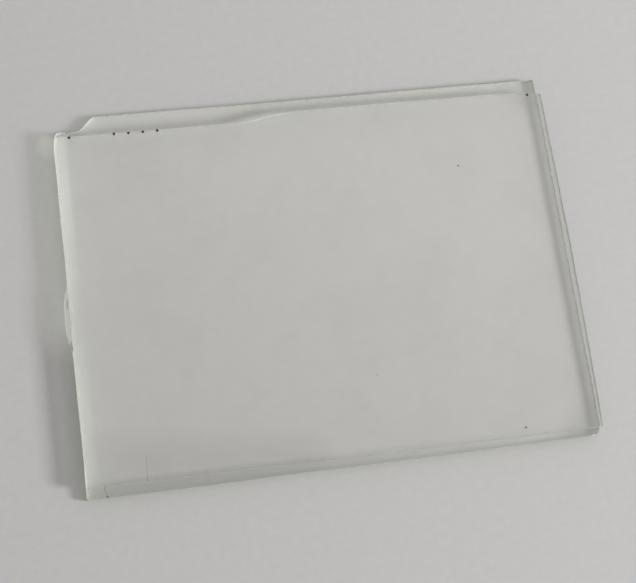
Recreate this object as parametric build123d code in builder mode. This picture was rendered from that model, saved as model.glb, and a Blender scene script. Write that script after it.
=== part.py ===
"""Open-edged counting chamber: two hand-cut glass plates held a film's depth apart by two thin rails.

Millimetres, +Z up. The origin is the centre of the base plate's underside, X runs along the plates'
long side from the rail with the lifting nib, and +Y points to the far ledge, the wider of the two.
"""

import math
import os

from build123d import *

os.makedirs("parts", exist_ok=True)

# Both plates are cut from the same sheet of slide glass and to the same length.
plate_length = 75.0
glass_thickness = 1.1

# The cover is the narrower plate, so the base shows as a ledge along both long sides.
cover_width = 53.3
far_ledge = 2.2
near_ledge = 1.3

# The cover is laid on by hand, so it sits a little to one side and a little turned.
cover_shift = 0.3
cover_turn = -0.37

# The rails set the depth of the counted film. They are strips of thin cover glass.
chamber_depth = 0.1
# They end clear of the base's snapped corner.
rail_width = 2.0
rail_inset = 0.75
rail_corner_clearance = 3.0

# Marks left on the base by cutting and handling. The break at the far left corner runs in at a slant
# and then out to the short side almost level.
corner_cut_along = 6.1
corner_cut_down = 2.4
corner_slant_run = 2.1
corner_slant_drop = 2.1
corner_chip_along = 0.7
corner_chip_up = 1.0

# The cover's far edge broke away from the scored line along its first third.
setback = 1.25
setback_length = 27.2
setback_run = 4.6
spur_width = 1.6
spur_slope = 0.4
spur_drop = 0.4
taper_run = 6.5
taper_drop = 0.5

# The cover's short sides bow outwards, and a lip is left standing on the left one.
edge_bow = 0.3
nib_length = 8.6
nib_reach = 0.7
nib_slope = 1.4
nib_offset = -2.2

# Enamel index dots along the cover's far edge.
dot_diameter = 0.44
dot_thickness = 0.03
dot_inset = 0.26
dot_pitch = 2.14
row_dot_count = 4
row_start = 8.6
left_dot_start = 2.0
right_dot_start = 2.3

# The ruled counting grid: nine 1 mm squares, the middle one ruled finest.
grid_square = 1.0
grid_squares = 3
coarse_divisions = 4
middle_divisions = 5
fine_divisions = 20
line_width = 0.02
line_thickness = 0.02

# Sizes that follow from the ones above.
base_width = near_ledge + cover_width + far_ledge
half_length = plate_length / 2
half_base_width = base_width / 2
half_cover_width = cover_width / 2
cover_centre_y = (near_ledge - far_ledge) / 2
rail_top = glass_thickness + chamber_depth
cover_top = rail_top + glass_thickness
rail_length = base_width - 2 * (corner_cut_down + rail_corner_clearance)
rail_centre_x = half_length - rail_inset - rail_width / 2
setback_y = half_cover_width - setback
taper_start_x = half_length - taper_run
bow_x = half_length + edge_bow
nib_top_y = nib_offset + nib_length / 2
nib_bottom_y = nib_offset - nib_length / 2
grid_size = grid_square * grid_squares


def cover_plane(height):
    """The plane of the cover's own outline, shifted and turned as the cover lies, at one height."""
    turn = math.radians(cover_turn)
    return Plane(
        origin=(cover_shift, cover_centre_y, height),
        x_dir=(math.cos(turn), math.sin(turn), 0),
        z_dir=(0, 0, 1),
    )


def ruling(start, length, divisions):
    """Positions of the lines that divide a length into equal parts, counted from its start."""
    return [start + length * step / divisions for step in range(divisions + 1)]


# Base plate: the far left corner is snapped off and the near right corner is chipped.
with BuildPart() as base_plate:
    with BuildSketch(Plane.XY):
        with BuildLine():
            Polyline(
                (-half_length, -half_base_width),
                (half_length - corner_chip_along, -half_base_width),
                (half_length, -half_base_width + corner_chip_up),
                (half_length, half_base_width),
                (-half_length + corner_cut_along, half_base_width),
                (-half_length + corner_cut_along - corner_slant_run, half_base_width - corner_slant_drop),
                (-half_length, half_base_width - corner_cut_down),
                close=True,
            )
        make_face()
    extrude(amount=glass_thickness)
base_plate.part.label = "base_plate"
export_step(base_plate.part, "parts/base_plate.step")

# Spacer rails: fused to the base just inside its short sides, open at both ledges.
with BuildPart() as left_spacer_rail:
    with BuildSketch(Plane.XY.offset(glass_thickness)):
        with Locations((-rail_centre_x, 0)):
            Rectangle(rail_width, rail_length)
    extrude(amount=chamber_depth)
left_spacer_rail.part.label = "left_spacer_rail"
export_step(left_spacer_rail.part, "parts/left_spacer_rail.step")

with BuildPart() as right_spacer_rail:
    with BuildSketch(Plane.XY.offset(glass_thickness)):
        with Locations((rail_centre_x, 0)):
            Rectangle(rail_width, rail_length)
    extrude(amount=chamber_depth)
right_spacer_rail.part.label = "right_spacer_rail"
export_step(right_spacer_rail.part, "parts/right_spacer_rail.step")

# Counting grid: coarse lines in the outer squares, finer ones through the middle row and column.
coarse_lines = ruling(-grid_size / 2, grid_square, coarse_divisions)
middle_lines = ruling(-grid_square / 2, grid_square, middle_divisions)
full_lines = coarse_lines + middle_lines[1:-1] + [-position for position in coarse_lines]
fine_lines = ruling(-grid_square / 2, grid_square, fine_divisions)
with BuildPart() as counting_grid:
    with BuildSketch(Plane.XY.offset(glass_thickness)):
        with Locations([(position, 0) for position in full_lines]):
            Rectangle(line_width, grid_size + line_width)
        with Locations([(0, position) for position in full_lines]):
            Rectangle(grid_size + line_width, line_width)
        with Locations([(position, 0) for position in fine_lines]):
            Rectangle(line_width, grid_square)
        with Locations([(0, position) for position in fine_lines]):
            Rectangle(grid_square, line_width)
    extrude(amount=line_thickness)
counting_grid.part.label = "counting_grid"
export_step(counting_grid.part, "parts/counting_grid.step")

# Cover plate: bowed short sides, a lip on the left one, and a far edge that wandered off its score.
with BuildPart() as cover_plate:
    with BuildSketch(cover_plane(rail_top)):
        with BuildLine():
            Polyline(
                (-half_length, -half_cover_width),
                (half_length, -half_cover_width),
                (bow_x, 0),
                (half_length, half_cover_width - taper_drop),
                (taper_start_x, half_cover_width),
                (-half_length + setback_length + setback_run, half_cover_width),
                (-half_length + setback_length, setback_y),
                (-half_length + spur_width + spur_slope, setback_y),
                (-half_length + spur_width, half_cover_width - spur_drop),
                (-half_length, half_cover_width - spur_drop),
                (-bow_x, nib_top_y),
                (-bow_x - nib_reach, nib_top_y - nib_slope),
                (-bow_x - nib_reach, nib_bottom_y + nib_slope),
                (-bow_x, nib_bottom_y),
                close=True,
            )
        make_face()
    extrude(amount=glass_thickness)
cover_plate.part.label = "cover_plate"
export_step(cover_plate.part, "parts/cover_plate.step")

# Corner dots: one at each end of the far edge, to lay the cover the same way each time.
with BuildPart() as left_corner_dot:
    with BuildSketch(cover_plane(cover_top)):
        with Locations((-half_length + left_dot_start, setback_y - dot_inset)):
            Circle(dot_diameter / 2)
    extrude(amount=dot_thickness)
left_corner_dot.part.label = "left_corner_dot"
export_step(left_corner_dot.part, "parts/left_corner_dot.step")

right_dot_x = half_length - right_dot_start
right_edge_y = half_cover_width - taper_drop * (right_dot_x - taper_start_x) / taper_run
with BuildPart() as right_corner_dot:
    with BuildSketch(cover_plane(cover_top)):
        with Locations((right_dot_x, right_edge_y - dot_inset)):
            Circle(dot_diameter / 2)
    extrude(amount=dot_thickness)
right_corner_dot.part.label = "right_corner_dot"
export_step(right_corner_dot.part, "parts/right_corner_dot.step")

# Row dots: an evenly spaced row that numbers the plate.
for index in range(row_dot_count):
    dot_name = f"row_dot_{index + 1}"
    dot_x = -half_length + row_start + index * dot_pitch
    with BuildPart() as row_dot:
        with BuildSketch(cover_plane(cover_top)):
            with Locations((dot_x, setback_y - dot_inset)):
                Circle(dot_diameter / 2)
        extrude(amount=dot_thickness)
    row_dot.part.label = dot_name
    export_step(row_dot.part, f"parts/{dot_name}.step")
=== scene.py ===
# %% [markdown]
# # An open-edged counting chamber in glass
# Two plates of slide glass lie face to face with a film of air between them. The plates were scored
# and snapped by hand, so their edges wander, one carries a lip, and small shells have flaked off.
# The measured frame comes first: it holds every part at its true place and size, and everything
# made below is placed from it.

# %% Load the measured frame
import math

import bpy
import numpy as np
from mathutils import Euler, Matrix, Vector


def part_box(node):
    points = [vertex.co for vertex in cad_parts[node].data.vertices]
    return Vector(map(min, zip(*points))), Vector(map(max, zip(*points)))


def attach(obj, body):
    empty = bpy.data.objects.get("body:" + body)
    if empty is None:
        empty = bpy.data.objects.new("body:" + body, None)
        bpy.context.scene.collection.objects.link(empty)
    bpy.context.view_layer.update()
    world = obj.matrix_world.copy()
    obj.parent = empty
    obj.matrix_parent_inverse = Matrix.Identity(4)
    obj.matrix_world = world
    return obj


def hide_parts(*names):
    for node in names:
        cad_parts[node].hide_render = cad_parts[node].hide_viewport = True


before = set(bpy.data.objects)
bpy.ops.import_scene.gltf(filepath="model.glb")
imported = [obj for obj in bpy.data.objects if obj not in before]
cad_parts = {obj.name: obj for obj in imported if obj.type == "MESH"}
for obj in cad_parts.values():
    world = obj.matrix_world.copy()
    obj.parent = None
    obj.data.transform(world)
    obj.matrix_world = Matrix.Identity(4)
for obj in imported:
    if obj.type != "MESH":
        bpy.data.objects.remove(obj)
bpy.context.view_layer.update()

scene = bpy.context.scene
print("parts in the frame:", sorted(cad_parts))

# %% [markdown]
# Every length on the chamber is written in millimetres, because that is how glass is cut, and is
# turned into metres as its mesh is built. Only the sheet, the card and the lamp around it are written
# in metres. The heights of the stack are read from the frame, so that the plates sit exactly where
# the measured parts do. Faces that would touch stand a sliver of air apart, because a ray can't tell
# two faces at one place from each other.

# %% Read the heights of the stack
MM = 0.001
AIR = 0.002


def span(node):
    """Lowest and highest corner of a measured part, in millimetres."""
    low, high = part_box(node)
    return np.array(low) / MM, np.array(high) / MM


base_low, base_high = span("base_plate")
cover_low, cover_high = span("cover_plate")
base_half = (base_high - base_low)[:2] / 2
print("base", base_low.round(3), base_high.round(3))
print("cover", cover_low.round(3), cover_high.round(3))

# %% [markdown]
# A snapped edge is never straight. It wanders slowly where the score drifted and trembles finely
# where the crack ran. Adding many waves of falling height gives such a line. The waves fit a whole
# number of times round the plate, so the edge closes without a step.


# %% A wandering line
def wander(along, waves, fall, seed):
    """Sum over k of cos(2 pi k s + phase k) / k ** fall, scaled to a standard deviation of one.

    along is s, from 0 to 1 round the plate, and waves is the pair of lowest and highest k.
    """
    k = np.arange(waves[0], waves[1] + 1)
    phase = np.random.default_rng(seed).uniform(0, 2 * np.pi, k.size)
    line = (np.cos(2 * np.pi * along[:, None] * k + phase) / k**fall).sum(1)
    return line / line.std()


print("a sample of the wander:", wander(np.linspace(0, 1, 5), (3, 40), 1.0, 1).round(2))

# %% [markdown]
# The outline of a plate is drawn as a few corners, then walked at an even pace. A short running
# average rounds each corner by a tenth of a millimetre or so, as broken glass is never a perfect
# point.


# %% Walk an outline at an even pace
def walk(corners, count, soften):
    """Points spaced evenly along the closed line through the corners, each the mean of its
    neighbours up to soften steps away."""
    loop = np.vstack([corners, corners[:1]])
    reach = np.r_[0, np.cumsum(np.linalg.norm(np.diff(loop, axis=0), axis=1))]
    pace = np.linspace(0, reach[-1], count, endpoint=False)
    line = np.column_stack([np.interp(pace, reach, loop[:, i]) for i in (0, 1)])
    shifts = range(-soften, soften + 1)
    return sum(np.roll(line, step, axis=0) for step in shifts) / len(shifts)


def outward(line):
    """Unit vectors square to a closed line that runs anticlockwise, pointing out of it: the chord
    from the point before to the point after, turned clockwise by a right angle, and averaged over
    six neighbours each way so that points near a corner don't cross when they are drawn in."""
    chord = np.roll(line, -1, axis=0) - np.roll(line, 1, axis=0)
    square = np.column_stack([chord[:, 1], -chord[:, 0]])
    mean = sum(np.roll(square, step, axis=0) for step in range(-6, 7))
    return mean / np.linalg.norm(mean, axis=1)[:, None]


# %% [markdown]
# A plate is one closed skin. One parameter runs round the outline and the other runs from the
# underside, up the wall and over onto the top. A modelled box with a bevel would be quicker, but its
# wall would be too perfect for light to catch on. Here each row of the wall steps in by its own
# amount, and shells are then bitten out of the skin where the glass flaked.


# %% A glass plate as one skin
FACE_STEPS = np.array([0.0, 0.05, 0.11, 0.19, 0.3, 0.46, 0.7, 1.05, 1.6])
WALL_STEPS = np.array([0, 0.05, 0.12, 0.24, 0.38, 0.52, 0.66, 0.78, 0.88, 0.95, 1.0])
FIRST_WALL = len(FACE_STEPS) - 1
WALL_ROWS = (FIRST_WALL, FIRST_WALL + len(WALL_STEPS) - 1)


def plate_skin(line, low, high, drift, ribs):
    """Rows of points. Wall rows rise from low to high by the shares in WALL_STEPS, each drawn
    squarely in from the outline by drift + 2 |ribs| (1 - share), so the ribs grow towards the
    underside, where the crack ended. Face rows lie at low or high and are drawn in further by
    FACE_STEPS, along (x / half length, y / half width), which shrinks the plate evenly and so never
    folds over itself at a corner."""
    out = outward(line)
    middle = (line.max(0) + line.min(0)) / 2
    shrink = (line - middle) / ((line.max(0) - line.min(0)) / 2)

    def row(share, height, step):
        inset = drift + np.abs(ribs) * (1 - share) * 2
        ring = line - out * inset[:, None] - shrink * step
        return np.column_stack([ring, np.full(len(line), height)])

    under = [row(0.0, low, step) for step in FACE_STEPS[:0:-1]]
    wall = [row(share, low + share * (high - low), 0.0) for share in WALL_STEPS]
    over = [row(1.0, high, step) for step in FACE_STEPS[1:]]
    return np.stack(under + wall + over)


def bite(skin, centre, radius):
    """Pushes every point inside a ball out onto the ball's surface, which leaves a shell-shaped
    hollow in the skin: p becomes c + (p - c) * radius / |p - c|."""
    away = skin - centre
    gap = np.linalg.norm(away, axis=2)
    inside = gap < radius
    skin[inside] = centre + away[inside] * (radius / np.maximum(gap[inside], 1e-6))[:, None]


# %% [markdown]
# The skin goes into a mesh as quads, with one flat many-sided face closing the top and one the
# underside. Only the wall and the rims of the shells need a curved look, so the two long rims are
# marked sharp and the faces stay optically flat.


# %% Turn a skin into a mesh
def put_in_scene(mesh):
    """Links a mesh into the scene as a piece of the same name, at the origin."""
    piece = bpy.data.objects.new(mesh.name, mesh)
    scene.collection.objects.link(piece)
    return piece


def skin_mesh(name, skin, face_finish, wall_finish):
    """Joins neighbouring rows with quads and closes both ends. The first and last row of the wall
    are its two sharp rims, and the faces between them take the wall's finish."""
    rows, count, _ = skin.shape
    number = np.arange(rows * count).reshape(rows, count)
    ahead = np.roll(number, -1, axis=1)
    quads = np.stack([number[:-1], ahead[:-1], ahead[1:], number[1:]], axis=2).reshape(-1, 4)
    faces = quads.tolist() + [number[0, ::-1].tolist(), number[-1].tolist()]
    mesh = bpy.data.meshes.new(name)
    mesh.from_pydata((skin.reshape(-1, 3) * MM).tolist(), [], faces)
    ends = np.empty(len(mesh.edges) * 2, np.int32)
    mesh.edges.foreach_get("vertices", ends)
    row_of = ends.reshape(-1, 2) // count
    sharp = (row_of[:, 0] == row_of[:, 1]) & np.isin(row_of[:, 0], WALL_ROWS)
    mesh.attributes.new("sharp_edge", "BOOLEAN", "EDGE").data.foreach_set("value", sharp)
    strip = np.repeat(np.arange(rows - 1), count)
    wall = (strip >= WALL_ROWS[0]) & (strip < WALL_ROWS[1])
    mesh.polygons.foreach_set("material_index", np.r_[wall.astype(np.int32), 0, 0])
    mesh.polygons.foreach_set("use_smooth", np.ones(len(mesh.polygons), bool))
    mesh.materials.append(face_finish)
    mesh.materials.append(wall_finish)
    mesh.update()
    print(name, len(mesh.vertices), "points", len(mesh.polygons), "faces")
    return put_in_scene(mesh)


# %% [markdown]
# ## Glass
# Slide glass is clear, with a breath of green from iron that shows only where light has come a long
# way through it, as it does at the edges. The shader is a plain dielectric with an index of 1.52. A
# renderer treats glass as a full stop for lamp light, which would leave the sheet underneath far too
# dark, and true caustics would need thousands of samples. So rays that look for a lamp, or that
# gather soft light, pass the polished faces unbent and lose only a trace.
#
# Each finish below is a sum of a few simple patterns, so a small kit keeps the sums short to read.


# %% A small kit for finishes
class Finish:
    """The nodes of one material, or of the sky, with short calls for its sums and blends."""

    def __init__(self, owner):
        owner.use_nodes = True
        self.owner = owner
        self.nodes = owner.node_tree.nodes
        self.links = owner.node_tree.links
        self.shader = self.nodes.get("Principled BSDF")
        self.place = self.node("TexCoord", {}).outputs["Object"]

    def node(self, kind, feeds, **settings):
        """A new node. Each feed is a value for one input, or a socket to link to it."""
        made = self.nodes.new("ShaderNode" + kind)
        for setting, value in settings.items():
            setattr(made, setting, value)
        for key, value in feeds.items():
            if isinstance(value, bpy.types.NodeSocket):
                self.links.new(value, made.inputs[key])
            else:
                made.inputs[key].default_value = value
        return made

    def set(self, **values):
        """Sets or links inputs of the main shader, named with _ for each space."""
        for key, value in values.items():
            socket = self.shader.inputs[key.replace("_", " ")]
            if isinstance(value, bpy.types.NodeSocket):
                self.links.new(value, socket)
            else:
                socket.default_value = value

    def maths(self, operation, first, second):
        """One sum, with a socket or a number on either side."""
        return self.node("Math", {0: first, 1: second}, operation=operation).outputs["Value"]

    def plus(self, first, second):
        return self.maths("ADD", first, second)

    def less(self, first, second):
        return self.maths("SUBTRACT", first, second)

    def times(self, first, second):
        return self.maths("MULTIPLY", first, second)

    def ramp(self, value, start, stop, low, high):
        """A straight slope from low to high while value runs from start to stop, held at the ends."""
        feeds = {"Value": value, "From Min": start, "From Max": stop, "To Min": low, "To Max": high}
        return self.node("MapRange", feeds).outputs["Result"]

    def vector(self, operation, first, second):
        """One sum on vectors, with a socket or three numbers on either side."""
        return self.node("VectorMath", {0: first, 1: second}, operation=operation)

    def axes(self):
        """The piece's own coordinates in millimetres, one socket each."""
        scaled = self.vector("MULTIPLY", self.place, (1 / MM,) * 3).outputs["Vector"]
        parts = self.node("SeparateXYZ", {"Vector": scaled}).outputs
        return parts["X"], parts["Y"], parts["Z"]

    def grain(self, scale, detail, place=None):
        """Noise on the piece's own coordinates, between 0 and 1."""
        feeds = {"Vector": self.place if place is None else place, "Scale": scale, "Detail": detail}
        return self.node("TexNoise", feeds).outputs["Fac"]

    def speckle(self, scale, detail, low, high, start=0.4, stop=0.6):
        """Noise stretched so that start to stop becomes low to high."""
        return self.ramp(self.grain(scale, detail), start, stop, low, high)

    def tone(self, share, first, second):
        """A colour between two."""
        feeds = {"Factor": share, "A": first, "B": second}
        return self.node("Mix", feeds, data_type="RGBA").outputs["Result"]

    def matt(self, colour):
        return self.node("BsdfDiffuse", {"Color": colour}).outputs["BSDF"]

    def clear(self, colour):
        return self.node("BsdfTransparent", {"Color": colour}).outputs["BSDF"]

    def mixed(self, share, first, second):
        """Two shaders blended by a share."""
        return self.node("MixShader", {0: share, 1: first, 2: second}).outputs["Shader"]

    def by_ray(self, seen, soft_light, lamp_light):
        """One shader for the eye, one for rays that gather soft light, one for rays to the lamp."""
        path = self.node("LightPath", {}).outputs
        surface = self.mixed(path["Is Diffuse Ray"], seen, soft_light)
        return self.show(self.mixed(path["Is Shadow Ray"], surface, lamp_light))

    def show(self, surface):
        """Sends the surface to the output and gives back the material."""
        self.links.new(surface, self.nodes["Material Output"].inputs["Surface"])
        return self.owner


def new_finish(name):
    return Finish(bpy.data.materials.new(name))


# %% [markdown]
# The underside of the base lies on the sheet, so the share of lamp light it passes is the pattern of
# light on the sheet. It could come from tracing caustics, but a sum of a few ramps is quick, smooth
# and easy to place. Light thrown back by the left and far walls piles up in strips beside them. The
# ledge along the near side is dimmer, more so to the left, and so are the two corners on the right,
# where the shade of two walls runs together. A painted soft shade also dims the whole plate a little
# towards the near left.


# %% Light on the sheet
def corner_shade(finish, x, y):
    """One beyond a quarter circle in each of the two corners on the right, nought inside it. With q as
    how far a point lies past the circle's middle along x and along |y|, the shade grows with |q|, and
    fades out where either part of q nears nought."""
    past_x = finish.maths("MAXIMUM", finish.less(x, 30.5), 0.0)
    size_y = finish.maths("MAXIMUM", y, finish.times(y, -1.0))
    past_y = finish.maths("MAXIMUM", finish.less(size_y, 22.5), 0.0)
    squares = finish.plus(finish.times(past_x, past_x), finish.times(past_y, past_y))
    shade = finish.ramp(finish.maths("POWER", squares, 0.5), 3.0, 5.2, 0.0, 1.0)
    both = finish.ramp(finish.maths("MINIMUM", past_x, past_y), 0.0, 2.0, 0.0, 1.0)
    return finish.times(shade, both)


def light_on_sheet(finish):
    """One, plus the strips beside the left wall, where it breaks off at the lip, and the far wall, less
    the ledge along the near side, the right corners and a painted shade towards the near left, on the
    face that lies on the sheet. The other faces pass one."""
    x, y, z = finish.axes()
    by_left_wall = finish.times(
        finish.ramp(x, -35.9, -35.4, 1.0, 0.0),
        finish.ramp(y, -26.5, -23.5, 0.0, 1.0),
    )
    past_the_lip = finish.plus(
        finish.ramp(y, 0.0, 14.0, 0.0, 0.4),
        finish.ramp(y, -10.5, -7.5, 0.14, 0.0),
    )
    by_far_wall = finish.ramp(y, 27.2, 27.9, 0.0, 0.2)
    gained = finish.plus(finish.times(by_left_wall, past_the_lip), by_far_wall)

    level_with_cover = finish.plus(y, finish.times(x, 0.0065))
    ledge = finish.times(
        finish.ramp(level_with_cover, -26.8, -25.9, 1.0, 0.0),
        finish.ramp(x, -25.0, 30.0, 0.5, 0.15),
    )
    ledge = finish.times(ledge, finish.ramp(y, -28.4, -27.5, 0.55, 1.0))
    aslant = finish.plus(y, finish.times(x, 0.5))
    # painted shade: less lamp light passes towards the near left
    near_left_shade = finish.ramp(aslant, -30.0, 15.0, 0.17, 0.0)
    corners = finish.times(corner_shade(finish, x, y), 0.25)
    lost = finish.plus(ledge, finish.plus(near_left_shade, corners))

    low_down = finish.ramp(z, 0.4, 0.6, 1.0, 0.0)
    return finish.plus(finish.times(finish.less(gained, lost), low_down), 1.0)


def lip_shade(finish):
    """The frosted underside of the lip passes a third of the lamp light, the rest of the plate all."""
    x, _, z = finish.axes()
    held = finish.ramp(x, -37.4, -37.0, 0.65, 0.0)
    below = finish.ramp(z, 1.4, 1.6, 1.0, 0.0)
    return finish.less(1.0, finish.times(held, below))


# %% [markdown]
# Handling leaves marks: a scratch, a crack, grit and smears. Each could be drawn by hand on a texture,
# but a mark that is worked out stays sharp from close by. A thin mark is all the points near a short
# line. The same dark lines also paint shade into the two gaps at the ends of the lip.


# %% Marks on the glass
# A dark matt colour for grime and cracks, also used as painted shade in the gaps of the lip.
GRIME_AND_GAP_SHADE = (0.03, 0.032, 0.028, 1)


def streak(finish, start, stop, half_wide):
    """One on a thin line between two points given in millimetres, nought elsewhere. The share of the
    way along is t = dot(p - a, b - a) / |b - a| ** 2 held between 0 and 1, and the line shows where
    the distance from p to a + t (b - a) is under half_wide."""
    way = np.subtract(stop, start)
    place = finish.vector("MULTIPLY", finish.place, (1 / MM,) * 3).outputs["Vector"]
    offset = finish.vector("SUBTRACT", place, start).outputs["Vector"]
    share = finish.vector("DOT_PRODUCT", offset, (way / (way @ way)).tolist()).outputs["Value"]
    share = finish.maths("MINIMUM", finish.maths("MAXIMUM", share, 0.0), 1.0)
    along = finish.node("VectorMath", {0: way.tolist(), "Scale": share}, operation="SCALE")
    gap = finish.vector("DISTANCE", offset, along.outputs["Vector"]).outputs["Value"]
    return finish.ramp(gap, half_wide * 0.5, half_wide * 1.3, 1.0, 0.0)


def darkened(finish, surface, height, lines):
    """Lays a dark matt colour over the glass along each line at one height, for marks and for painted
    shade in the two gaps of the lip. A line is its start, its stop, half its width and its strength."""
    total = 0.0
    for start, stop, half_wide, strength in lines:
        line = streak(finish, (*start, height), (*stop, height), half_wide)
        total = finish.maths("MAXIMUM", total, finish.times(line, strength))
    return finish.mixed(total, surface, finish.matt(GRIME_AND_GAP_SHADE))


def cover_marks(finish, surface):
    """The lip is frosted below, where the plate was bent off instead of cut, and gapes at both ends,
    where the two gaps are painted dark as painted shade. The right rim, which overhangs the base,
    carries a painted shade below, a dark matt colour for the shadow under it. Faint smears from
    handling, a hairline scratch and a few specks of grit lie on the faces."""
    x, _, z = finish.axes()
    below = finish.ramp(z, 1.4, 1.6, 1.0, 0.0)
    lip = finish.times(finish.ramp(x, -37.5, -36.9, 0.65, 0.0), below)
    # painted shade: a dark matt colour under the overhanging right rim stands for the shadow beneath it
    right_rim_shade = finish.times(finish.ramp(x, 37.2, 37.6, 0.0, 0.24), below)
    smears = finish.speckle(95.0, 6.0, 0.0, 0.03, 0.46, 0.7)
    surface = finish.mixed(smears, surface, finish.matt((0.42, 0.41, 0.38, 1)))
    surface = finish.mixed(lip, surface, finish.matt((0.6, 0.615, 0.575, 1)))
    surface = finish.mixed(right_rim_shade, surface, finish.matt((0.3, 0.315, 0.28, 1)))
    return darkened(finish, surface, cover_high[2], [
        # The first two lines are the gaps at the ends of the lip: painted shade.
        ((-37.47, 0.18), (-37.57, -0.99), 0.07, 0.5),
        ((-37.46, -6.0), (-37.43, -7.17), 0.08, 0.6),
        ((-28.77, -23.5), (-28.89, -26.9), 0.07, 0.14),
        ((22.73, 14.89), (22.75, 14.87), 0.13, 0.8),
        ((25.97, -26.03), (25.95, -26.0), 0.16, 0.7),
        ((5.39, -15.71), (5.45, -15.75), 0.11, 0.35),
    ])


def base_marks(finish, surface):
    """A short crack runs out of the near ledge close to the left corner, and three faint dark dashes
    lie on the far ledge beside the dots."""
    return darkened(finish, surface, base_high[2] - AIR, [
        ((-34.95, -26.7), (-34.62, -28.1), 0.06, 0.3),
        ((-34.6, -28.12), (-34.58, -28.16), 0.13, 0.7),
        ((-35.1, 25.67), (-34.98, 25.67), 0.1, 0.25),
        ((-28.5, 25.63), (-28.38, 25.63), 0.1, 0.35),
        ((-22.1, 25.58), (-21.94, 25.58), 0.1, 0.4),
    ])


# %% [markdown]
# The polished faces of both plates are one recipe. Each plate adds its own marks, and its own share of
# lamp light that its underside passes.


# %% Polished faces
GLASS_INDEX = 1.52
FACE_TINT = (0.988, 0.991, 0.981, 1)
FACE_PASS = (0.998, 0.997, 0.993, 1)


def polished_glass(name, tint, passed, index=GLASS_INDEX, lamp_share=None, marks=None):
    """Clear glass that lets lamp light and soft light through unbent. lamp_share, if given, makes the
    share of lamp light that passes. marks, if given, lays marks over the clear shader."""
    finish = new_finish(name)
    haze = finish.speckle(260.0, 6.0, 0.0, 0.035, 0.55, 0.8)
    finish.set(Base_Color=tint, Transmission_Weight=1.0, IOR=index, Roughness=haze)
    surface = finish.shader.outputs["BSDF"]
    if marks:
        surface = marks(finish, surface)
    lamp_light = finish.clear(lamp_share(finish) if lamp_share else passed)
    return finish.by_ray(surface, finish.clear(passed), lamp_light)


cover_face = polished_glass(
    "cover_polished_face", FACE_TINT, FACE_PASS, lamp_share=lip_shade, marks=cover_marks
)
base_face = polished_glass(
    "base_polished_face", FACE_TINT, FACE_PASS, lamp_share=light_on_sheet, marks=base_marks
)
print("polished faces:", cover_face.name, base_face.name)

# %% [markdown]
# The snapped wall is the same glass, roughened, but lamp light treats its two sides differently. Light
# that came in over the top meets the far wall from inside, too shallow to get out, and is thrown back
# down. So a wall turned away from the lamp keeps a bright strip inside and a shadow outside. Light
# that comes in over a wall turned to the lamp is bent steeply down, so only the lowest part of that
# wall holds it back. The eye meets rough glass full of pale splinters, which lie thickest along the
# two long sides and the right one. Only lamp light and soft light take the short rules.


# %% Snapped edges
EDGE_TINT, EDGE_GLOW = (0.95, 0.97, 0.945, 1), (0.84, 0.89, 0.83, 1)
FEW_SPLINTERS, MANY_SPLINTERS = (0.56, 0.585, 0.55, 1), (0.8, 0.84, 0.79, 1)
EDGE_VEIL, LEAVING_GREEN, BLACK = (0.62, 0.68, 0.57, 1), (0.96, 1.0, 0.9, 1), (0, 0, 0, 1)


def rough_break(finish):
    """Rough clear glass, mixed with pale splinters. Their share and paleness grow on the long sides,
    found by y ** 2, and on the right side."""
    stretch = finish.node("Mapping", {"Vector": finish.place, "Scale": (1.0, 1.0, 0.25)})
    ribs = finish.grain(900.0, 5.0, stretch.outputs["Vector"])
    bump = finish.node("Bump", {"Strength": 0.12, "Distance": 0.05 * MM, "Height": ribs})
    finish.set(Base_Color=EDGE_TINT, Transmission_Weight=1.0, IOR=GLASS_INDEX)
    finish.set(Roughness=finish.ramp(ribs, 0.4, 0.6, 0.02, 0.14), Normal=bump.outputs["Normal"])
    x, y, _ = finish.axes()
    long_sides = finish.ramp(finish.times(y, y), 23.5**2, 24.5**2, 0.0, 1.0)
    frayed = finish.maths("MAXIMUM", long_sides, finish.ramp(x, 35.0, 36.0, 0.0, 0.75))
    splinters = finish.matt(finish.tone(frayed, FEW_SPLINTERS, MANY_SPLINTERS))
    share = finish.plus(finish.speckle(1400.0, 4.0, 0.38, 0.58), finish.times(frayed, 0.28))
    return finish.mixed(share, finish.shader.outputs["BSDF"], splinters)


def snapped_glass(name, dim_top, near_out, far_out, break_out):
    """Glass broken along a score. dim_top is the height in millimetres up to which a wall holds back
    light that comes in through it. The last three are the shares of lamp light that get out past the
    near half of the left wall, past its far half, and past the slanting break at the far left."""
    finish = new_finish(name)
    seen = rough_break(finish)
    inside = finish.node("NewGeometry", {}).outputs["Backfacing"]
    x, y, z = finish.axes()
    along_left = finish.times(
        finish.ramp(y, -9.0, -3.0, near_out, far_out),
        finish.ramp(x, -36.2, -35.5, 1.0, 0.05),
    )
    at_break = finish.times(
        finish.ramp(x, -31.5, -30.5, break_out, 0.0),
        finish.ramp(y, 22.2, 23.2, 0.0, 1.0),
    )
    leaving = finish.clear(finish.tone(finish.plus(along_left, at_break), BLACK, LEAVING_GREEN))
    held = finish.times(
        finish.ramp(z, 0.2 * dim_top, 0.45 * dim_top, 0.4, 0.75),
        finish.ramp(z, 0.75 * dim_top, 1.1 * dim_top, 1.0, 0.0),
    )
    entering = finish.clear(finish.less(1.0, held))
    soft_light = finish.mixed(inside, finish.clear(EDGE_VEIL), finish.matt(EDGE_GLOW))
    return finish.by_ray(seen, soft_light, finish.mixed(inside, leaving, entering))


cover_edge = snapped_glass("cover_snapped_edge", 0.1, near_out=0.05, far_out=0.5, break_out=0.0)
base_edge = snapped_glass("base_snapped_edge", 1.0, near_out=0.05, far_out=0.62, break_out=0.3)
print("snapped edges:", cover_edge.name, base_edge.name)

# %% [markdown]
# ## Base plate
# The lower plate carries everything. Its far left corner broke off at a slant and its near right
# corner is chipped. The outline goes round anticlockwise from the near left corner. It could be cut
# from the measured part, but a fresh outline lets every edge wander.

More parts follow.
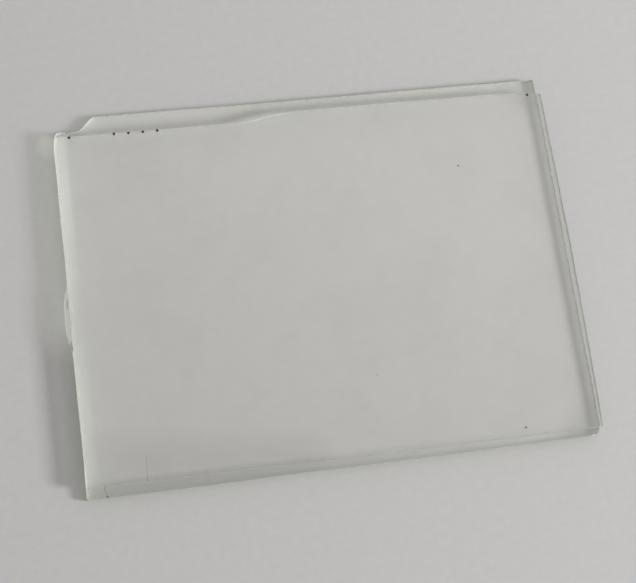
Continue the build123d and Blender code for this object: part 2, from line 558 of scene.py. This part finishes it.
# %% Base outline and wall
POINTS_ROUND = 2600
BREAK_ALONG, BREAK_DOWN, BREAK_SLANT, BREAK_FADE = 6.1, 2.4, 2.1, 4.5
CHIP_ALONG, CHIP_UP = 0.7, 1.0
half_x, half_y = base_half
base_corners = np.array([
    (-half_x, -half_y),
    (half_x - CHIP_ALONG, -half_y),
    (half_x, -half_y + CHIP_UP),
    (half_x, half_y),
    (-half_x + BREAK_ALONG, half_y),
    (-half_x + BREAK_ALONG - BREAK_SLANT, half_y - BREAK_SLANT),
    (-half_x + 0.3, half_y - BREAK_DOWN),
    (-half_x, half_y - BREAK_FADE),
])
base_line = walk(base_corners, POINTS_ROUND, 4)
around = np.arange(POINTS_ROUND) / POINTS_ROUND
base_drift = 0.03 * wander(around, (3, 26), 0.8, 11)
base_drift += 0.007 * wander(around, (60, 500), 0.6, 12)
base_drift -= base_drift.min()
base_ribs = 0.006 * wander(around, (150, 700), 0.2, 13)
base_skin = plate_skin(base_line, base_low[2] + AIR, base_high[2] - AIR, base_drift, base_ribs)
print("base skin", base_skin.shape)

# %% [markdown]
# Shells flake off where the edge was scored or knocked. Each one is a ball that bites into the rim:
# its middle lies outside the glass, so only a shallow curved scoop is left. Cutting real balls away
# with a Boolean would do the same, but slowly, and would leave untidy faces.


# %% Flake the rims
def scatter(count, seed, reach, depth):
    """Places, radii and depths of many small shells, with far more small ones than large."""
    dice = np.random.default_rng(seed)
    places = dice.uniform(0, 1, count)
    size = dice.uniform(0, 1, count) ** 3
    return places, reach[0] + (reach[1] - reach[0]) * size, depth[0] + (depth[1] - depth[0]) * size


def flake(skin, line, height, shells, lift):
    """Bites shells out of the rim at a height, at the top (lift 1) or underside (lift -1). Each has
    its share of the way round, its radius and its depth. The ball's middle stands off along the
    corner's slant by its radius less the depth."""
    out = outward(line)
    for place, reach, depth in zip(*shells, strict=True):
        spot = int(place * len(line)) % len(line)
        slant = np.r_[out[spot], 0.9 * lift]
        slant /= np.linalg.norm(slant)
        rim = np.r_[line[spot], height]
        bite(skin, rim + slant * (reach - depth), reach)


flake(base_skin, base_line, base_high[2], scatter(70, 21, (0.16, 0.5), (0.04, 0.13)), 1)
flake(base_skin, base_line, base_low[2], scatter(50, 22, (0.16, 0.4), (0.03, 0.1)), -1)
CHIP_MIDDLE, CHIP_RADIUS = (36.4, -28.75, base_high[2] + 0.25), 0.72
bite(base_skin, np.array(CHIP_MIDDLE), CHIP_RADIUS)
base_glass = skin_mesh("base_glass", base_skin, base_face, base_edge)
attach(base_glass, "base")
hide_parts("base_plate")

# %% [markdown]
# ## Cover plate
# The upper plate is narrower and lies a little turned. Along its first third the crack left the
# score and ran inside it, and at the corner a spur of glass stayed on. The left side kept a lip,
# because the plate was bent rather than pulled apart there. The outline is drawn square to the
# plate, walked, and only then turned, so its corners stay easy to read.

# %% Cover outline and wall
COVER_TURN = math.radians(-0.37)
COVER_SHIFT = np.array([0.3, -0.45])
edge_x, edge_y = 75.0 / 2, 53.3 / 2
cover_corners = np.array([
    (-edge_x, -edge_y),
    (edge_x, -edge_y),
    (edge_x + 0.22, -12.0),
    (edge_x + 0.3, 0.0),
    (edge_x + 0.2, 13.0),
    (edge_x, edge_y - 0.5),
    (edge_x - 3.0, edge_y - 0.2),
    (edge_x - 6.5, edge_y - 0.03),
    (6.0, edge_y - 0.02),
    (-3.0, edge_y - 0.12),
    (-5.7, edge_y - 0.5),
    (-8.2, edge_y - 1.05),
    (-10.3, edge_y - 1.25),
    (-edge_x + 3.2, edge_y - 1.27),
    (-edge_x + 2.35, edge_y - 1.24),
    (-edge_x + 1.75, edge_y - 0.85),
    (-edge_x + 1.15, edge_y - 0.44),
    (-edge_x + 0.5, edge_y - 0.5),
    (-edge_x, edge_y - 0.62),
    (-edge_x - 0.18, 14.0),
    (-edge_x - 0.28, 2.6),
    (-edge_x - 0.55, 1.7),
    (-edge_x - 0.92, 0.5),
    (-edge_x - 0.99, -2.0),
    (-edge_x - 0.93, -4.4),
    (-edge_x - 0.6, -6.0),
    (-edge_x - 0.3, -6.6),
    (-edge_x - 0.15, -15.0),
])
cover_flat = walk(cover_corners, POINTS_ROUND, 3)
cosine, sine = math.cos(COVER_TURN), math.sin(COVER_TURN)
cover_line = cover_flat @ np.array([[cosine, sine], [-sine, cosine]]) + COVER_SHIFT
cover_drift = 0.026 * wander(around, (3, 30), 0.8, 31)
cover_drift += 0.008 * wander(around, (60, 500), 0.6, 32)
cover_drift -= cover_drift.min()
cover_ribs = 0.007 * wander(around, (150, 700), 0.2, 33)
cover_skin = plate_skin(cover_line, cover_low[2] + AIR, cover_high[2], cover_drift, cover_ribs)
flake(cover_skin, cover_line, cover_high[2], scatter(80, 41, (0.16, 0.5), (0.04, 0.13)), 1)
flake(cover_skin, cover_line, cover_low[2], scatter(50, 42, (0.16, 0.4), (0.03, 0.1)), -1)
cover_glass = skin_mesh("cover_glass", cover_skin, cover_face, cover_edge)
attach(cover_glass, "cover")
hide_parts("cover_plate")

# %% [markdown]
# ## Spacer rails
# Strips of thin cover glass hold the plates a tenth of a millimetre apart. They are plain strips, so
# they keep their measured shape and only get a finish. Wetted in, they have almost no edge of their
# own, so the finish is glass with an index close to that of its surroundings.


# %% Rail finish
def refinish(node, finish):
    """Gives a measured part a new finish and leaves its shape alone."""
    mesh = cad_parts[node].data
    mesh.materials.clear()
    mesh.materials.append(finish)


RAIL_INDEX = 1.03
rail_clear = polished_glass("rail_clear", (0.998, 0.999, 0.998, 1), (0.99, 0.99, 0.99, 1), RAIL_INDEX)
refinish("left_spacer_rail", rail_clear)
refinish("right_spacer_rail", rail_clear)
print("rails finished with", rail_clear.name)

# %% [markdown]
# ## Counting grid
# Ruled lines are shallow scratches. They hold no colour, and only scatter a little light sideways, so
# they vanish at arm's length and show under a microscope. They could be drawn in the base's finish,
# but as a part of their own they can be found and measured. The finish is nearly clear, with a grain
# of pale scatter.

# %% Grid finish
etched = new_finish("etched_line")
etched.set(Base_Color=(0.7, 0.72, 0.71, 1), Roughness=etched.speckle(9000.0, 3.0, 0.3, 0.6))
scattered = etched.speckle(12000.0, 2.0, 0.003, 0.012)
nearly_clear = etched.mixed(scattered, etched.clear((1, 1, 1, 1)), etched.shader.outputs["BSDF"])
refinish("counting_grid", etched.show(nearly_clear))
print("grid finished with", etched.owner.name)

# %% [markdown]
# ## Enamel dots
# Each dot is a drop of black enamel. Black paint is never quite black, and a dried drop is glossy in
# some places and dull in others, so both its colour and its gloss follow a fine noise. One flat black
# would look like a hole in the glass.

# %% Enamel finish
enamel = new_finish("black_enamel")
depth = enamel.speckle(7000.0, 4.0, 0.0, 1.0)
enamel.set(Base_Color=enamel.tone(depth, (0.008, 0.008, 0.009, 1), (0.02, 0.02, 0.021, 1)))
enamel.set(Roughness=enamel.speckle(5000.0, 3.0, 0.28, 0.5))
print("enamel finish:", enamel.owner.name)

# %% [markdown]
# A drop dries as a low dome with a slightly uneven rim. A flattened ball would do for its shape, but
# the drop keeps a nearly flat top and falls off steeply at the rim, which a fourth power gives.


# %% Dry a drop
def drop(name, node, seed):
    """A low dome: height = thickness * (1 - r ** 4) over a rim whose radius wanders with the angle,
    closed by a flat disc underneath."""
    low, high = span(node)
    middle, radius = (low + high)[:2] / 2, (high - low)[0] / 2
    turns = np.linspace(0, 1, 48, endpoint=False)
    rim = radius * (0.93 - 0.05 * np.abs(wander(turns, (2, 5), 0.5, seed)))
    ring = np.array([0.55, 0.8, 0.93, 1.0])[:, None]
    angle = 2 * np.pi * turns[None, :]
    x = middle[0] + ring * rim * np.cos(angle)
    y = middle[1] + ring * rim * np.sin(angle)
    z = low[2] + (high[2] - low[2]) * (1 - ring**4) + 0 * x
    tip = [[middle[0], middle[1], high[2]]]
    points = np.vstack([np.stack([x, y, z], axis=2).reshape(-1, 3), tip])
    number = np.arange(ring.size * turns.size).reshape(ring.size, turns.size)
    ahead = np.roll(number, -1, axis=1)
    quads = np.stack([number[1:], ahead[1:], ahead[:-1], number[:-1]], axis=2).reshape(-1, 4)
    tips = np.column_stack([number[0], ahead[0], np.full(turns.size, number.size)])
    faces = quads.tolist() + tips.tolist() + [number[-1, ::-1].tolist()]
    mesh = bpy.data.meshes.new(name)
    mesh.from_pydata((points * MM).tolist(), [], faces)
    mesh.polygons.foreach_set("use_smooth", np.ones(len(mesh.polygons), bool))
    mesh.materials.append(enamel.owner)
    mesh.update()
    piece = put_in_scene(mesh)
    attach(piece, "cover")
    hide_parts(node)


dot_nodes = ["left_corner_dot", *[f"row_dot_{i}" for i in range(1, 5)], "right_corner_dot"]
for seed, node in enumerate(dot_nodes, start=50):
    drop(f"{node}_enamel", node, seed)
print("drops:", len(dot_nodes))

# %% [markdown]
# ## Sheet, light and camera
# The chamber lies on a pale matt sheet, which is one large face with a fine paper fibre. It isn't part
# of the object.

# %% Pale sheet
paper = new_finish("pale_sheet")
fibre = paper.speckle(900.0, 8.0, 0.0, 1.0, 0.3, 0.7)
paper.set(Base_Color=paper.tone(fibre, (0.712, 0.699, 0.692, 1), (0.74, 0.727, 0.72, 1)))
paper.set(Roughness=0.9, Specular_IOR_Level=0.15)
SHEET_HALF = 1.5
sheet_corners = [(x * SHEET_HALF, y * SHEET_HALF, 0) for x, y in ((-1, -1), (1, -1), (1, 1), (-1, 1))]
sheet_mesh = bpy.data.meshes.new("pale_sheet")
sheet_mesh.from_pydata(sheet_corners, [], [(0, 1, 2, 3)])
sheet_mesh.materials.append(paper.owner)
put_in_scene(sheet_mesh)
print("sheet:", 2 * SHEET_HALF, "m square")

# %% [markdown]
# A grey card hangs over the near left, beside the camera. It keeps a little sky off that side of the
# sheet and gives the glass something soft and dark to mirror there. Its edges fade out, so the
# mirrored shape has no hard outline. Only its light matters, so the camera doesn't see it.

# %% Grey card
card_paint = new_finish("grey_card")
card_paint.set(Base_Color=(0.33, 0.327, 0.32, 1), Roughness=card_paint.speckle(700.0, 4.0, 0.7, 0.95))
fade = card_paint.node("Attribute", {}, attribute_name="fade").outputs["Fac"]
card_face = card_paint.mixed(fade, card_paint.clear((1, 1, 1, 1)), card_paint.shader.outputs["BSDF"])
card_paint.show(card_face)
CARD_TURN, CARD_MIDDLE, CARD_HEIGHT = math.radians(-8), (-0.0277, -0.0459), 0.183
across = np.array([-0.17, 0.039, 0.041, 0.043, 0.045, 0.047])
upward = np.array([-0.24, 0.0465, 0.0485, 0.0505, 0.0525, 0.0545])
solid = np.array([1.0, 1.0, 0.75, 0.5, 0.25, 0.0])
u, v = (grid.ravel() for grid in np.meshgrid(across, upward, indexing="ij"))
card_x = u * math.cos(CARD_TURN) - v * math.sin(CARD_TURN) + CARD_MIDDLE[0]
card_y = u * math.sin(CARD_TURN) + v * math.cos(CARD_TURN) + CARD_MIDDLE[1]
card_points = np.column_stack([card_x, card_y, np.full(u.size, CARD_HEIGHT)])
number = np.arange(u.size).reshape(across.size, upward.size)
corners = [number[:-1, :-1], number[:-1, 1:], number[1:, 1:], number[1:, :-1]]
squares = np.stack(corners, axis=2).reshape(-1, 4)
card_mesh = bpy.data.meshes.new("grey_card")
card_mesh.from_pydata(card_points.tolist(), [], squares.tolist())
fade_values = card_mesh.attributes.new("fade", "FLOAT", "POINT").data
fade_values.foreach_set("value", np.outer(solid, solid).ravel())
card_mesh.materials.append(card_paint.owner)
card = put_in_scene(card_mesh)
card.visible_camera = False
print("card:", len(card_mesh.polygons), "faces")

# %% [markdown]
# One soft lamp stands low on the right and a little to the front, like a window. It is an area lamp,
# because a point lamp would give hard shadows. It is kept out of mirror images, where so bright a
# shape would cover part of the glass with a hard white patch.

# %% Lamp
LAMP_TURN, LAMP_RISE, LAMP_FAR = math.radians(-17), math.radians(25), 0.75
lamp_way = Vector((
    math.cos(LAMP_TURN) * math.cos(LAMP_RISE),
    math.sin(LAMP_TURN) * math.cos(LAMP_RISE),
    math.sin(LAMP_RISE),
))
lamp = bpy.data.lights.new("soft_lamp", "AREA")
lamp.shape = "RECTANGLE"
lamp.size, lamp.size_y = 0.19, 0.15
lamp.energy = 3.75
lamp_holder = bpy.data.objects.new("soft_lamp", lamp)
scene.collection.objects.link(lamp_holder)
lamp_holder.location = lamp_way * LAMP_FAR
lamp_holder.rotation_euler = (-lamp_way).to_track_quat("-Z", "Y").to_euler()
lamp_holder.visible_glossy = False
lamp_holder.visible_transmission = False
print("lamp at", [round(place, 3) for place in lamp_holder.location])

# %% [markdown]
# The sky is a little brighter behind the lamp, as a wall beside a window is. It gives the sheet an even
# fill and the glass a soft sheen that grows towards the far right. A picture of a real room would
# mirror its furniture in the glass.

# %% Sky
scene.world = bpy.data.worlds.new("even_sky")
sky = Finish(scene.world)
heading = sky.node("TexCoord", {}).outputs["Generated"]
toward_window = sky.vector("DOT_PRODUCT", heading, (0.7, 0.9, 0.0)).outputs["Value"]
brightness = sky.ramp(toward_window, -0.05, 0.65, 0.0, 1.0)
sky_tone = sky.tone(brightness, (0.365, 0.362, 0.357, 1), (0.68, 0.677, 0.674, 1))
sky.links.new(sky_tone, sky.nodes["Background"].inputs["Color"])
print("sky:", scene.world.name)

# %% [markdown]
# The camera looks down from beside the near edge, close enough that the plates' far side looks
# smaller than the near one. The light crosses the two plates and back, which takes more bounces than
# usual.

# %% Camera
camera = bpy.data.cameras.new("camera")
camera.sensor_width = 36
camera.lens = 70.7547
camera.clip_start = 0.01
holder = bpy.data.objects.new("camera", camera)
scene.collection.objects.link(holder)
holder.location = Vector((-27.70, -45.92, 178.41)) * MM
holder.rotation_euler = Euler([math.radians(a) for a in (14.762, -6.469, -7.995)])
scene.camera = holder
scene.view_settings.view_transform = "Standard"
scene.cycles.max_bounces = 16
scene.cycles.transmission_bounces = 16
print("camera lens:", round(camera.lens, 1), "mm")
